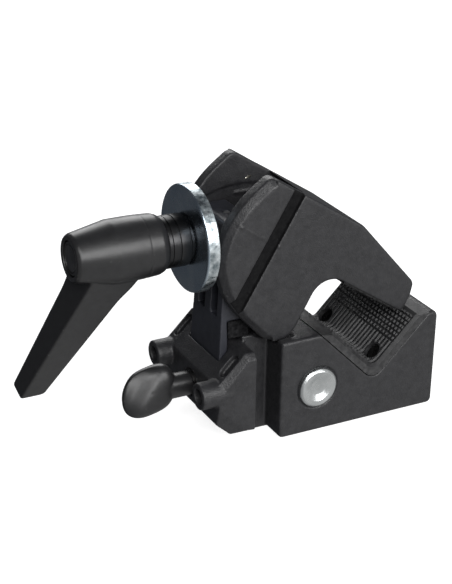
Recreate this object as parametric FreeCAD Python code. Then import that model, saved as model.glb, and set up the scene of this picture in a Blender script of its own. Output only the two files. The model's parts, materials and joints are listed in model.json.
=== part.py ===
import FreeCAD
import Part
import math
import os

# Super clamp: a fixed V jaw and a hinged upper jaw, closed by a ratchet lever on a threaded stud.
# Millimetres. The origin is on the base face, under the bottom of the V, in the clamp's plane of
# symmetry Y = 0. +X runs from the lever towards the open end of the jaws, +Z from the base upwards.

# ---- driving dimensions -------------------------------------------------------------------------
BODY_WIDTH = 50.0
BODY_REAR = -41.2
BODY_FRONT = 28.3
BODY_TOP = 40.5
BODY_EDGE = 1.2
FOOT_ROUND = 2.0            # rounds of the body's outline at its base
FRONT_ROUND = 2.5
REAR_ROUND = 1.5
SCALLOP_RADIUS = 12.3       # hollows in the body's top that the jaw's lobes turn in
SCALLOP_INNER = 12.4
SCALLOP_OUTER = 20.8

V_SEAT_Z = 16.0             # corner of the V in the casting, both arms at 45 degrees
V_FACE_Z = 21.5             # corner of the V on the liner's working face
V_SEAT_ROUND = 5.0
V_FACE_ROUND = 3.6
LINER_SCREW_X = 3.4
LINER_SCREW_Y = 17.8
LINER_SCREW = 2.0
LINER_SCREW_LENGTH = 11.0
LINER_HEAD = 3.1
LINER_HEAD_BORE = 3.25
SCREW_HEAD_SINK = 1.2       # head below the liner's working face
SCREW_HEAD_DEPTH = 1.5
LINER_DRIVE = 1.3
DRIVE_DEPTH = 0.9

RIVET_X = -25.0
RIVET_Z = 18.8
RIVET_SHANK = 5.0
RIVET_HEAD = 8.0
RIVET_SINK = 0.8            # spot face in the body's side, under the head
RIVET_PROUD = 2.2
RIVET_ROUND = 1.6
BOWL_RADIUS = 6.0
BOWL_CENTRE = 6.9           # height of the bowl's centre above the spot face

HINGE_X = -40.4
HINGE_Z = 50.3
HINGE_PIN = 4.0
PIN_INNER = 1.0
PIN_OUTER = 17.2
PIN_BORE_END = 17.5
HINGE_EYE = 7.5
RUN_CLEARANCE = 0.06        # radial play of every shaft that turns in a hole
GAP = 0.1                   # play between castings that do not move against each other

JAW_WIDTH = 40.0
CHEEK_INNER = 13.5
RIM_LEAD = 22.3             # washer travel for one radian of jaw travel
RIM_REACH = 24.3            # hinge to the rim's contact line at rest, along X
RIM_FIRST = -13.0           # jaw angles in degrees at which the ends of the rim touch the washer
RIM_LAST = 52.0
RIM_STEPS = 12
RIM_BEVEL = 2.6
RIM_BEVEL_END = -42.4       # X where the rim's bevel gives way to the small rounds
JAW_EDGE = 1.0
EYE_CLEAR = 8.8             # radius of the jaw's hollow around the hinge eye
EYE_CLEAR_LOW = -45         # degrees above horizontal between which that hollow runs
EYE_CLEAR_HIGH = 20
GROOVE_WIDTH = 5.0
GROOVE_DEPTH = 1.8
GROOVE_SLOPE = 59.2         # degrees above horizontal
GROOVE_MID = (-45.4, 76.35)

PAD_LOW = (12.2, 41.77)
PAD_HIGH = (-11.6, 57.53)
PAD_THICK = 3.0
PAD_PROUD = 0.9
PAD_RECESS_HALF = 18.6
PAD_MARGIN = 0.15
PAD_SCREW_Y = 9.0
PAD_SCREW = 1.8
PAD_SCREW_LENGTH = 8.0
PAD_HEAD = 3.0
PAD_HEAD_BORE = 3.1
PAD_HEAD_DEPTH = 1.4
PAD_DRIVE = 1.2

STUD_Z = 78.4
STUD_RADIUS = 6.0
STUD_TIP = -98.2
STUD_BACK = -46.4
STUD_POINT = 1.0
CROSS_PIN_X = -52.4
CROSS_PIN = 1.5
CROSS_PIN_LENGTH = 21.0
CROSS_BORE_LENGTH = 24.0
CROSS_BORE_BELOW = 14.0     # start of the cross bore below the stud's axis

WASHER_REAR = -65.0
WASHER_THICK = 5.0
WASHER_RADIUS = 20.3
WASHER_ROUND = 0.6
RING_RADIUS = 8.6
RING_PLAY = 0.4

COLLAR_FRONT = -71.9
COLLAR_BACK = -79.8
COLLAR_RADIUS = 9.85
COLLAR_CHAMFER = 0.6
LINE_DEPTH = 0.25
LINE_HALF = 0.2
COLLAR_LINES = (-75.1, -78.2)
CORE_END = -106.4
CORE_WALL = 3.0             # end wall of the core, threaded for the retaining screw
SLEEVE_RADIUS = 7.9
SPLINE_START = -99.4
SPLINE_RADIUS = 8.5
SPLINE_ROOT = 7.6
SPLINE_SLOT = 1.8
SPLINE_TEETH = 12
TOOTH_WIDTH = 1.3
TOOTH_TIP = 7.75
RING_OUTER = 10.0
RING_FRONT = -103.8
RING_SEAT = -102.4
SHOULDER = -108.7           # floor of the hub's end recess, under the spring
HUB_END = -114.9
ARM_SWING = 17.8            # degrees between the resting lever arm and straight down, towards +Y
ARM_LENGTH = 62.0
SCREW_HEAD_FACE = -114.6
RETAINER = 2.0
RETAINER_HEAD = 5.4

SOCKET_X = -51.9
SOCKET_FLATS = 16.2
SOCKET_TOP = 27.3
BLOCK_FRONT = -66.9
BLOCK_BACK = -51.3
BLOCK_HALF = 22.3
FACET_HALF = 24.5
BLOCK_BOTTOM = 5.6
BLOCK_EDGE = 0.8
BOSS_Y = 19.6
BOSS_Z = 23.1
BOSS_TIP = -73.4
BOSS_RADIUS = 5.25
BOSS_EDGE = 0.7
BOSS_BORE = 3.1
BOSS_BORE_DEPTH = 15.0
LOCK_SCREW_Z = 18.6
LOCK_SCREW_RADIUS = 4.0
LOCK_COUNTERBORE = 5.6
LOCK_COUNTERBORE_DEPTH = 2.0

NECK_HALF = 13.4
POST_HALF = 12.6
POST_TOP_HALF = 11.6
POST_FRONT = -57.4
POST_BACK = -48.9
POST_SHOULDER = 47.2
TAPER_START = 26.3
TAPER_END = 51.3
ARM_HALF = 7.9
ARM_BOTTOM = 29.6
FOOT_EYE = 8.8
WINDOW_INNER = 2.4          # the two windows in the post's front
WINDOW_OUTER = 7.7
WINDOW_LOW = 47.8
WINDOW_HIGH = 67.8
WINDOW_BACK = -54.9

KNOB_LEFT = -95.4
KNOB_RIGHT = -73.9
KNOB_HALF_TALL = 10.4
KNOB_HALF_THICK = 3.4
KNOB_LEAN = 20.0            # degrees between the paddle and the plane of symmetry
KNOB_ROUND = 1.6
KNOB_CORE = 2.6
KNOB_CORE_END = -90.4
SLEEVE_END = -67.3
KNOB_SLEEVE = 4.8
THREAD_IN_KNOB = 6.0
TIP_BACK = -61.2            # end of the thread, behind the pressure tip
TIP_PAD = 3.6
TIP_PAD_THICK = 1.0
TIP_STEM = 1.5
TIP_STEM_LENGTH = 3.8
TIP_BORE_DEPTH = 4.0

CUT = 60.0                  # overrun of every cutting tool
NEAR = 0.01                 # tolerance when edges are picked by position


# ---- geometry helpers ---------------------------------------------------------------------------
def vec(x, y, z):
    return FreeCAD.Vector(x, y, z)


def block(x_low, x_high, y_low, y_high, z_low, z_high):
    return Part.makeBox(x_high - x_low, y_high - y_low, z_high - z_low, vec(x_low, y_low, z_low))


def rod_x(radius, x_low, x_high, y=0.0, z=STUD_Z):
    return Part.makeCylinder(radius, x_high - x_low, vec(x_low, y, z), vec(1, 0, 0))


def rod_y(radius, y_low, y_high, x, z):
    return Part.makeCylinder(radius, y_high - y_low, vec(x, y_low, z), vec(0, 1, 0))


def both_sides(shape):
    """The shape and its mirror image in the plane of symmetry."""
    return [shape, shape.mirror(vec(0, 0, 0), vec(0, 1, 0))]


def fused(shapes):
    whole = shapes[0]
    for shape in shapes[1:]:
        whole = whole.fuse(shape)
    return whole.removeSplitter()


def corner_arc(before, corner, after, radius):
    """Start, middle and end of the arc that rounds a corner of an XZ outline."""
    to_before = (before - corner).normalize()
    to_after = (after - corner).normalize()
    half = to_before.getAngle(to_after) / 2
    reach = radius / math.tan(half)
    centre = corner + (to_before + to_after).normalize() * (radius / math.sin(half))
    middle = centre + (corner - centre).normalize() * radius
    return corner + to_before * reach, middle, corner + to_after * reach


def path_edges(corners):
    """Edges along an open XZ path of (x, z, radius) corners, with the corners rounded."""
    points = [vec(x, 0, z) for x, z, radius in corners]
    edges = []
    last = points[0]
    for i in range(1, len(points) - 1):
        radius = corners[i][2]
        if radius == 0:
            start, end = points[i], points[i]
        else:
            start, middle, end = corner_arc(points[i - 1], points[i], points[i + 1], radius)
        if (start - last).Length > 1e-6:
            edges.append(Part.LineSegment(last, start).toShape())
        if radius > 0:
            edges.append(Part.Arc(start, middle, end).toShape())
        last = end
    edges.append(Part.LineSegment(last, points[-1]).toShape())
    return edges


def closed_edges(corners):
    """Edges of a closed XZ outline. It starts halfway along its last side."""
    first, last = corners[0], corners[-1]
    seam = ((first[0] + last[0]) / 2, (first[1] + last[1]) / 2, 0)
    return path_edges([seam] + corners + [seam])


def prism(edges, y_low, y_high):
    face = Part.Face(Part.Wire(edges))
    face.translate(vec(0, y_low, 0))
    return face.extrude(vec(0, y_high - y_low, 0))


def plate(corners, half):
    """A prism of an XZ outline, centred on the plane of symmetry."""
    return prism(closed_edges(corners), -half, half)


def edges_where(shape, test):
    return [edge for edge in shape.Edges if test(edge.CenterOfMass)]


def turned_x(profile):
    """A solid of revolution about the stud's axis, from (x, radius) points."""
    points = [vec(x, 0, STUD_Z + radius) for x, radius in profile]
    points = [vec(profile[0][0], 0, STUD_Z)] + points + [vec(profile[-1][0], 0, STUD_Z)]
    face = Part.Face(Part.makePolygon(points + [points[0]]))
    return face.revolve(vec(0, 0, STUD_Z), vec(1, 0, 0), 360)


def v_corners(z_corner, radius, top):
    """Corners of a V-shaped outline, open upwards."""
    half = top - z_corner
    return [(-half, top, 0), (0, z_corner, radius), (half, top, 0)]


# ---- fixed body ---------------------------------------------------------------------------------
def stud_block():
    """The rear block that holds the hex socket, flared out to a flat facet on each side."""
    profile = [(-55.4, 38.3), (BLOCK_FRONT, 26.8), (BLOCK_FRONT, 10.9), (-61.0, BLOCK_BOTTOM),
               (BLOCK_BACK, BLOCK_BOTTOM), (BLOCK_BACK, 38.3)]
    facet = [(-54.8, 36.2), (BLOCK_FRONT, 22.4), (BLOCK_FRONT, 18.8), (-56.6, 7.5),
             (BLOCK_BACK, 6.6), (BLOCK_BACK, 36.2)]
    inner = Part.makePolygon([vec(x, BLOCK_HALF, z) for x, z in profile + profile[:1]])
    outer = Part.makePolygon([vec(x, FACET_HALF, z) for x, z in facet + facet[:1]])
    flare = Part.makeLoft([inner, outer], True, True)
    core = plate([(x, z, 0) for x, z in profile], BLOCK_HALF)
    front = edges_where(core, lambda p: abs(p.y) < NEAR and p.x < BLOCK_BACK - 1)
    return fused([core.makeFillet(BLOCK_EDGE, front)] + both_sides(flare))


def slope_recess():
    """A cutter for the oval recess on the block's upper slope."""
    radius, half_length, depth = 2.3, 2.5, 2.0
    ends = []
    for along in (-half_length, half_length):
        ends.append(Part.makeCylinder(radius, CUT, vec(along, BOSS_Y, -depth)))
    bar = block(-half_length, half_length, BOSS_Y - radius, BOSS_Y + radius, -depth, CUT - depth)
    cutter = fused(ends + [bar])
    cutter.rotate(vec(0, 0, 0), vec(0, 1, 0), -45)
    cutter.translate(vec(-60.6, 0, 33.1))
    return cutter


def hex_prism(across_flats, x, z_low, z_high):
    """A hexagon on a vertical axis, with two flats facing the lever and the jaws."""
    corner = across_flats / math.sqrt(3)
    points = [vec(x + corner * math.cos(math.radians(60 * i + 30)),
                  corner * math.sin(math.radians(60 * i + 30)), z_low) for i in range(7)]
    return Part.Face(Part.makePolygon(points)).extrude(vec(0, 0, z_high - z_low))


def arm_foot_corners(top):
    """XZ outline of the tension arm's foot, from the post down to the rivet."""
    return [(POST_FRONT, ARM_BOTTOM, 0), (-42.4, ARM_BOTTOM, 3.0), (-33.0, 15.1, 0),
            (RIVET_X, RIVET_Z, 0), (-18.7, 24.9, 0), (-34.2, 40.0, 0), (-34.4, top, 0),
            (POST_FRONT, top, 0)]


def foot_eye(half):
    return rod_y(FOOT_EYE, -half, half, RIVET_X, RIVET_Z)


def body_blank():
    """The body's outer form with the neck and the socket block behind it."""
    half = BODY_WIDTH / 2
    blank = plate([(BODY_REAR, 0, FOOT_ROUND), (BODY_FRONT, 0, FOOT_ROUND),
                   (BODY_FRONT, BODY_TOP, FRONT_ROUND), (BODY_REAR, BODY_TOP, REAR_ROUND)], half)
    blank = blank.makeFillet(BODY_EDGE, edges_where(blank, lambda p: abs(abs(p.y) - half) < NEAR))
    neck = block(SOCKET_X, BODY_REAR + FOOT_ROUND + 1, -NECK_HALF, NECK_HALF, 0, BODY_TOP)
    return fused([blank, neck, stud_block()])


def body_casting():
    half = BODY_WIDTH / 2
    casting = body_blank()
    notch = path_edges(v_corners(V_SEAT_Z, V_SEAT_ROUND, BODY_TOP + 10))
    lid = Part.LineSegment(notch[-1].Vertexes[-1].Point, notch[0].Vertexes[0].Point).toShape()
    casting = casting.cut(prism(notch + [lid], -CUT, CUT))
    # the slot for the tension arm, open at the top, and the pocket under the front of its post
    slot_half = ARM_HALF + GAP
    casting = casting.cut(plate(arm_foot_corners(CUT), slot_half))
    casting = casting.cut(foot_eye(slot_half))
    casting = casting.cut(block(POST_FRONT - 4, POST_FRONT + GAP, -POST_HALF - GAP, POST_HALF + GAP,
                                ARM_BOTTOM, CUT))
    for hollow in both_sides(rod_y(SCALLOP_RADIUS, SCALLOP_INNER, SCALLOP_OUTER, HINGE_X, HINGE_Z)):
        casting = casting.cut(hollow)
    casting = casting.cut(hex_prism(SOCKET_FLATS, SOCKET_X, -CUT, SOCKET_TOP))
    casting = casting.cut(rod_x(LOCK_SCREW_RADIUS, BOSS_TIP, SOCKET_X, 0, LOCK_SCREW_Z))
    casting = casting.cut(rod_x(LOCK_COUNTERBORE, BOSS_TIP, BLOCK_FRONT + LOCK_COUNTERBORE_DEPTH,
                                0, LOCK_SCREW_Z))
    for side in (-1, 1):
        boss = rod_x(BOSS_RADIUS, BOSS_TIP, BLOCK_FRONT + 6, side * BOSS_Y, BOSS_Z)
        boss = boss.makeFillet(BOSS_EDGE, edges_where(boss, lambda p: abs(p.x - BOSS_TIP) < NEAR))
        casting = casting.fuse(boss)
        casting = casting.cut(rod_x(BOSS_BORE, BOSS_TIP - 1, BOSS_TIP + BOSS_BORE_DEPTH,
                                    side * BOSS_Y, BOSS_Z))
    for recess in both_sides(slope_recess()):
        casting = casting.cut(recess)
    spot_radius = RIVET_HEAD + RIVET_SINK
    for spot in both_sides(rod_y(spot_radius, half - RIVET_SINK, CUT, RIVET_X, RIVET_Z)):
        casting = casting.cut(spot)
    casting = casting.cut(rod_y(RIVET_SHANK, -CUT, CUT, RIVET_X, RIVET_Z))
    for screw in liner_screw_rods():
        casting = casting.cut(screw)
    return casting.removeSplitter()


def liner_rod(radius, deep, high, side):
    """A rod square to the V's right arm at a liner screw; deep and high are from the working face."""
    z_face = V_FACE_Z + LINER_SCREW_X
    into = vec(math.sqrt(0.5), 0, -math.sqrt(0.5))
    start = vec(LINER_SCREW_X, side * LINER_SCREW_Y, z_face) - into * high
    return Part.makeCylinder(radius, deep + high, start, into)


def liner_screw_rods():
    return [liner_rod(LINER_SCREW, LINER_SCREW_LENGTH, 0, side) for side in (-1, 1)]


def jaw_liner():
    outer = path_edges(v_corners(V_SEAT_Z, V_SEAT_ROUND, BODY_TOP))
    inner = path_edges(v_corners(V_FACE_Z, V_FACE_ROUND, BODY_TOP))
    left = Part.LineSegment(outer[0].Vertexes[0].Point, inner[0].Vertexes[0].Point)
    right = Part.LineSegment(outer[-1].Vertexes[-1].Point, inner[-1].Vertexes[-1].Point)
    lips = [left.toShape(), right.toShape()]
    half = BODY_WIDTH / 2
    liner = prism(Part.__sortEdges__(outer + inner + lips), -half, half)
    for side in (-1, 1):
        liner = liner.cut(liner_rod(LINER_HEAD_BORE, SCREW_HEAD_SINK + SCREW_HEAD_DEPTH, CUT, side))
        liner = liner.cut(liner_rod(LINER_SCREW, CUT, 0, side))
    return liner


def liner_screws():
    screws = []
    for side in (-1, 1):
        head = liner_rod(LINER_HEAD, SCREW_HEAD_SINK + SCREW_HEAD_DEPTH, -SCREW_HEAD_SINK, side)
        shank = liner_rod(LINER_SCREW, LINER_SCREW_LENGTH, -SCREW_HEAD_SINK, side)
        drive = liner_rod(LINER_DRIVE, SCREW_HEAD_SINK + DRIVE_DEPTH, 0, side)
        screws.append(head.fuse(shank).removeSplitter().cut(drive))
    return Part.makeCompound(screws)


def arm_rivet():
    """A rivet through the body and the foot of the tension arm, with a ringed, dimpled head."""
    floor = BODY_WIDTH / 2 - RIVET_SINK
    top = floor + RIVET_PROUD
    rivet = rod_y(RIVET_SHANK, -floor, floor, RIVET_X, RIVET_Z)
    head = rod_y(RIVET_HEAD, floor, top, RIVET_X, RIVET_Z)
    head = head.makeFillet(RIVET_ROUND, edges_where(head, lambda p: p.y > top - NEAR))
    head = head.cut(Part.makeSphere(BOWL_RADIUS, vec(RIVET_X, floor + BOWL_CENTRE, RIVET_Z)))
    return fused([rivet] + both_sides(head))


def arm_post():
    """The tension arm's upright, tapered from the shoulders up."""
    post = plate([(-61.1, ARM_BOTTOM, 0), (-59.9, TAPER_END, 0), (-58.1, 86.3, 2.0),
                  (STUD_BACK, 86.3, 1.5), (STUD_BACK, 69.8, 3.0), (POST_BACK, 63.3, 3.0),
                  (-38.4, 57.5, 0), (HINGE_X, HINGE_Z, 0), (-45.7, 45.0, 0),
                  (POST_BACK, POST_SHOULDER, 0), (POST_FRONT, POST_SHOULDER, 0),
                  (POST_FRONT, ARM_BOTTOM, 0)], POST_HALF)
    right = [(POST_HALF, TAPER_START), (POST_TOP_HALF, TAPER_END), (POST_TOP_HALF, CUT * 2)]
    left = [(-y, z) for y, z in reversed(right)]
    section = [vec(-CUT * 2, y, z) for y, z in left + right + left[:1]]
    return post.common(Part.Face(Part.makePolygon(section)).extrude(vec(CUT * 2, 0, 0)))


def tension_arm():
    """The post that carries the hinge pin and the stud, in one piece with its foot at the rivet."""
    eye = rod_y(HINGE_EYE, -POST_TOP_HALF, POST_TOP_HALF, HINGE_X, HINGE_Z)
    foot = plate(arm_foot_corners(BODY_TOP), ARM_HALF)
    foot = foot.cut(block(POST_BACK, 0, -CUT, CUT, BODY_TOP - GAP, CUT))
    riser = block(POST_FRONT, POST_BACK, -ARM_HALF, ARM_HALF, BODY_TOP, POST_SHOULDER)
    arm = fused([arm_post(), eye, foot, riser, foot_eye(ARM_HALF)])
    for low, high in ((WINDOW_INNER, WINDOW_OUTER), (-WINDOW_OUTER, -WINDOW_INNER)):
        arm = arm.cut(block(-CUT * 2, WINDOW_BACK, low, high, WINDOW_LOW, WINDOW_HIGH))
    arm = arm.cut(rod_y(HINGE_PIN, -CUT, CUT, HINGE_X, HINGE_Z))
    arm = arm.cut(rod_x(STUD_RADIUS, -CUT * 2, 0))
    arm = arm.cut(rod_y(RIVET_SHANK, -CUT, CUT, RIVET_X, RIVET_Z))
    return arm.cut(cross_pin_rod())


def spacer_blocks():
    """The two blocks beside the foot, between the casting's neck and the post's shoulder."""
    slab = block(POST_FRONT, POST_BACK, ARM_HALF + GAP, POST_HALF - 2 * GAP, BODY_TOP,
                 POST_SHOULDER)
    return Part.makeCompound(both_sides(slab))


def hinge_pins():
    """Two stub pins pressed into the post's eye; each ends in a blind bore in its cheek."""
    stub = rod_y(HINGE_PIN, PIN_INNER, PIN_OUTER, HINGE_X, HINGE_Z)
    stub = stub.makeChamfer(0.5, edges_where(stub, lambda p: p.y > PIN_OUTER - NEAR))
    return Part.makeCompound(both_sides(stub))


def cross_pin_rod():
    foot = vec(CROSS_PIN_X, 0, STUD_Z - CROSS_BORE_BELOW)
    return Part.makeCylinder(CROSS_PIN, CROSS_BORE_LENGTH, foot, vec(0, 0, 1))


def threaded_stud():
    stud = rod_x(STUD_RADIUS, STUD_TIP, STUD_BACK)
    stud = stud.makeChamfer(STUD_POINT, edges_where(stud, lambda p: abs(p.x - STUD_TIP) < NEAR))
    return stud.cut(cross_pin_rod())


def stud_cross_pin():
    foot = vec(CROSS_PIN_X, 0, STUD_Z - CROSS_BORE_BELOW + 0.5)
    pin = Part.makeCylinder(CROSS_PIN, CROSS_PIN_LENGTH, foot, vec(0, 0, 1))
    return pin.makeChamfer(0.3, pin.Edges)


# ---- upper jaw ----------------------------------------------------------------------------------
def rim_point(degrees):
    """A point of the rear rim, an involute of a circle about the hinge: turning the jaw by this
    angle brings the point onto the washer, which then stands RIM_LEAD further back per radian."""
    angle = math.radians(degrees)
    reach = RIM_REACH + RIM_LEAD * angle
    x = HINGE_X - reach * math.cos(angle) + RIM_LEAD * math.sin(angle)
    z = HINGE_Z + reach * math.sin(angle) + RIM_LEAD * math.cos(angle)
    return vec(x, 0, z)


def rim_edge():
    step = (RIM_LAST - RIM_FIRST) / RIM_STEPS
    curve = Part.BSplineCurve()
    curve.interpolate([rim_point(RIM_FIRST + step * i) for i in range(RIM_STEPS + 1)])
    return curve.toShape()


def jaw_blank():
    rim = rim_edge()
    start = rim.Vertexes[0].Point
    end = rim.Vertexes[-1].Point
    path = path_edges([(end.x, end.z, 0), (-43.4, 104.2, 3.5), (-4.7, 79.5, 6.0), (19.5, 52.0, 3.0),
                       (18.2, 46.3, 6.0), (14.6, 40.2, 1.2), (-21.2, 63.8, 9.0), (-38.5, 32.9, 9.0),
                       (-55.7, 51.2, 20.0), (-61.6, 59.7, 20.0), (start.x, start.z, 0)])
    return prism([rim] + path, -JAW_WIDTH / 2, JAW_WIDTH / 2)


def around_eye(degrees):
    """A point on the hollow around the hinge eye."""
    angle = math.radians(degrees)
    return vec(HINGE_X + EYE_CLEAR * math.cos(angle), 0, HINGE_Z + EYE_CLEAR * math.sin(angle))


def pocket():
    """The space between the cheeks, open at the rim and below, that the post passes through."""
    low, high = around_eye(EYE_CLEAR_LOW), around_eye(EYE_CLEAR_HIGH)
    rest = path_edges([(high.x, high.z, 0), (-28.9, 66.2, 6.0), (-14.8, 78.7, 2.0), (-27.9, 94.3, 0),
                       (-36.4, 126.3, 0), (-91.4, 126.3, 0), (-91.4, 26.3, 0), (low.x, 26.3, 0),
                       (low.x, low.z, 0)])
    return prism([Part.Arc(low, around_eye(0), high).toShape()] + rest, -CHEEK_INNER, CHEEK_INNER)


def side_groove():
    """A cutter for the groove across a cheek, square to the jaw's top edge."""
    cutter = block(-CUT, CUT, JAW_WIDTH / 2 - GROOVE_DEPTH, CUT, -GROOVE_WIDTH / 2, GROOVE_WIDTH / 2)
    cutter.rotate(vec(0, 0, 0), vec(0, 1, 0), -GROOVE_SLOPE)
    cutter.translate(vec(GROOVE_MID[0], 0, GROOVE_MID[1]))
    return cutter


def pad_frame():
    """The pad face's two ends, and unit vectors along it, away from its low end, and into the jaw."""
    low, high = vec(PAD_LOW[0], 0, PAD_LOW[1]), vec(PAD_HIGH[0], 0, PAD_HIGH[1])
    along = (high - low).normalize()
    return low, high, vec(along.z, 0, -along.x)


def pad_slab(thick, half):
    low, high, inward = pad_frame()
    points = [low - inward * PAD_PROUD, high - inward * PAD_PROUD, high + inward * thick,
              low + inward * thick]
    face = Part.Face(Part.makePolygon(points + points[:1]))
    face.translate(vec(0, -half, 0))
    return face.extrude(vec(0, 2 * half, 0))


def pad_rod(radius, start, length, side):
    """A rod square to the pad's face at a pad screw, from start beyond the face, into the jaw."""
    low, high, inward = pad_frame()
    foot = (low + high) * 0.5 + inward * start + vec(0, side * PAD_SCREW_Y, 0)
    return Part.makeCylinder(radius, length, foot, inward)


def bevelled_blank():
    """The jaw's outer form: a wide bevel along the rear rim and small rounds elsewhere."""
    blank = jaw_blank()
    half = JAW_WIDTH / 2
    rear = blank.common(block(-CUT * 2, RIM_BEVEL_END, -CUT, CUT, 0, CUT * 2))
    front = blank.common(block(RIM_BEVEL_END, CUT, -CUT, CUT, 0, CUT * 2))
    rim = edges_where(rear, lambda p: abs(abs(p.y) - half) < NEAR and p.x < RIM_BEVEL_END - NEAR)
    others = edges_where(front, lambda p: abs(abs(p.y) - half) < NEAR and p.x > RIM_BEVEL_END + NEAR)
    return fused([rear.makeChamfer(RIM_BEVEL, rim), front.makeFillet(JAW_EDGE, others)])


def upper_jaw():
    jaw = bevelled_blank()
    jaw = jaw.cut(pocket())
    for groove in both_sides(side_groove()):
        jaw = jaw.cut(groove)
    pin_bore = rod_y(HINGE_PIN + RUN_CLEARANCE, CHEEK_INNER - 1, PIN_BORE_END, HINGE_X, HINGE_Z)
    for bore in both_sides(pin_bore):
        jaw = jaw.cut(bore)
    jaw = jaw.cut(pad_slab(PAD_THICK, PAD_RECESS_HALF))
    for side in (-1, 1):
        jaw = jaw.cut(pad_rod(PAD_SCREW, 0, PAD_THICK + PAD_SCREW_LENGTH, side))
    return jaw.removeSplitter()


def jaw_pad():
    pad = pad_slab(PAD_THICK, PAD_RECESS_HALF - PAD_MARGIN)
    for side in (-1, 1):
        pad = pad.cut(pad_rod(PAD_HEAD_BORE, -5, PAD_HEAD_DEPTH + 5, side))
        pad = pad.cut(pad_rod(PAD_SCREW, 0, CUT, side))
    return pad


def pad_screws():
    screws = []
    for side in (-1, 1):
        head = pad_rod(PAD_HEAD, 0, PAD_HEAD_DEPTH, side)
        shank = pad_rod(PAD_SCREW, PAD_HEAD_DEPTH, PAD_SCREW_LENGTH, side)
        drive = pad_rod(PAD_DRIVE, -1, 1 + DRIVE_DEPTH, side)
        screws.append(head.fuse(shank).removeSplitter().cut(drive))
    return Part.makeCompound(screws)


# ---- washer, lever ------------------------------------------------------------------------------
def pressure_washer():
    front = WASHER_REAR - WASHER_THICK
    disc = rod_x(WASHER_RADIUS, front, WASHER_REAR)
    disc = disc.makeFillet(WASHER_ROUND, edges_where(disc, lambda p: abs(p.x - front) < NEAR))
    return disc.cut(rod_x(STUD_RADIUS + RUN_CLEARANCE, front - 1, WASHER_REAR + 1))


def friction_ring():
    front = WASHER_REAR - WASHER_THICK
    ring = rod_x(RING_RADIUS, COLLAR_FRONT, front)
    return ring.cut(rod_x(STUD_RADIUS + RING_PLAY, COLLAR_FRONT - 1, front + 1))


def tooth_bars(x_low, x_high, r_low, r_high, width):
    """Bars at the spline's spacing, square to the axis."""
    bar = block(x_low, x_high, -width / 2, width / 2, STUD_Z + r_low, STUD_Z + r_high)
    bars = []
    for i in range(SPLINE_TEETH):
        turned = bar.copy()
        turned.rotate(vec(0, 0, STUD_Z), vec(1, 0, 0), 360 * i / SPLINE_TEETH)
        bars.append(turned)
    return bars


def lever_insert():
    """The steel core: a bright collar outside the handle, a sleeve inside it and a splined end."""
    outline = [(COLLAR_FRONT, COLLAR_RADIUS - COLLAR_CHAMFER),
               (COLLAR_FRONT - COLLAR_CHAMFER, COLLAR_RADIUS)]
    for x in COLLAR_LINES:
        outline += [(x + LINE_HALF, COLLAR_RADIUS), (x, COLLAR_RADIUS - LINE_DEPTH),
                    (x - LINE_HALF, COLLAR_RADIUS)]
    outline += [(COLLAR_BACK, COLLAR_RADIUS), (COLLAR_BACK, SLEEVE_RADIUS),
                (SPLINE_START, SLEEVE_RADIUS), (SPLINE_START, SPLINE_RADIUS),
                (CORE_END, SPLINE_RADIUS)]
    core = turned_x(outline)
    core = core.cut(rod_x(STUD_RADIUS + RUN_CLEARANCE, CORE_END + CORE_WALL, COLLAR_FRONT + 1))
    core = core.cut(rod_x(RETAINER, CORE_END - 1, CORE_END + CORE_WALL + 1))
    for slot in tooth_bars(CORE_END - 1, SPLINE_START, SPLINE_ROOT, SPLINE_ROOT * 2, SPLINE_SLOT):
        core = core.cut(slot)
    return core


def spline_ring():
    bore = rod_x(RING_RADIUS, CORE_END - 1, RING_SEAT)
    ring = rod_x(RING_OUTER, CORE_END, RING_FRONT).cut(bore)
    teeth = tooth_bars(CORE_END, RING_FRONT, TOOTH_TIP, RING_RADIUS + RING_PLAY, TOOTH_WIDTH)
    return fused([ring] + teeth)


def retaining_screw():
    shank = rod_x(RETAINER, SCREW_HEAD_FACE + 1.0, CORE_END + CORE_WALL - 0.2)
    head = turned_x([(SCREW_HEAD_FACE + 1.7, RETAINER_HEAD), (SCREW_HEAD_FACE + 0.5, RETAINER_HEAD),
                     (SCREW_HEAD_FACE, RETAINER_HEAD - 0.5)])
    socket = hex_prism(4.0, 0, 0, 3.0)
    socket.rotate(vec(0, 0, 0), vec(0, 1, 0), -90)
    socket.translate(vec(SCREW_HEAD_FACE + 1.4, 0, STUD_Z))
    return head.fuse(shank).removeSplitter().cut(socket)


def lever_spring():
    """A two-coil spring between the handle's inner shoulder and the head of the retaining screw."""
    wire, coil = 0.35, 3.6
    low, high = SCREW_HEAD_FACE + 1.8 + wire, SHOULDER - GAP - wire
    helix = Part.makeHelix((high - low) / 2.5, high - low, coil)
    circle = Part.Wire(Part.Circle(vec(coil, 0, 0), vec(0, 1, 0), wire).toShape())
    spring = Part.Wire(helix.Edges).makePipeShell([circle], True, True)
    spring.rotate(vec(0, 0, 0), vec(0, 1, 0), 90)
    spring.translate(vec(low, 0, STUD_Z))
    return spring


def rounded_section(x_low, x_high, half, radius, down):
    """A rounded rectangle across the lever arm, at a distance down from the stud's axis."""
    z = STUD_Z - down
    corners = [vec(x_low, -half, z), vec(x_high, -half, z), vec(x_high, half, z), vec(x_low, half, z)]
    edges = []
    arcs = [corner_arc(corners[i - 1], corners[i], corners[(i + 1) % 4], radius) for i in range(4)]
    for i in range(4):
        edges.append(Part.Arc(*arcs[i]).toShape())
        edges.append(Part.LineSegment(arcs[i][2], arcs[(i + 1) % 4][0]).toShape())
    return Part.Wire(edges)


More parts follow.
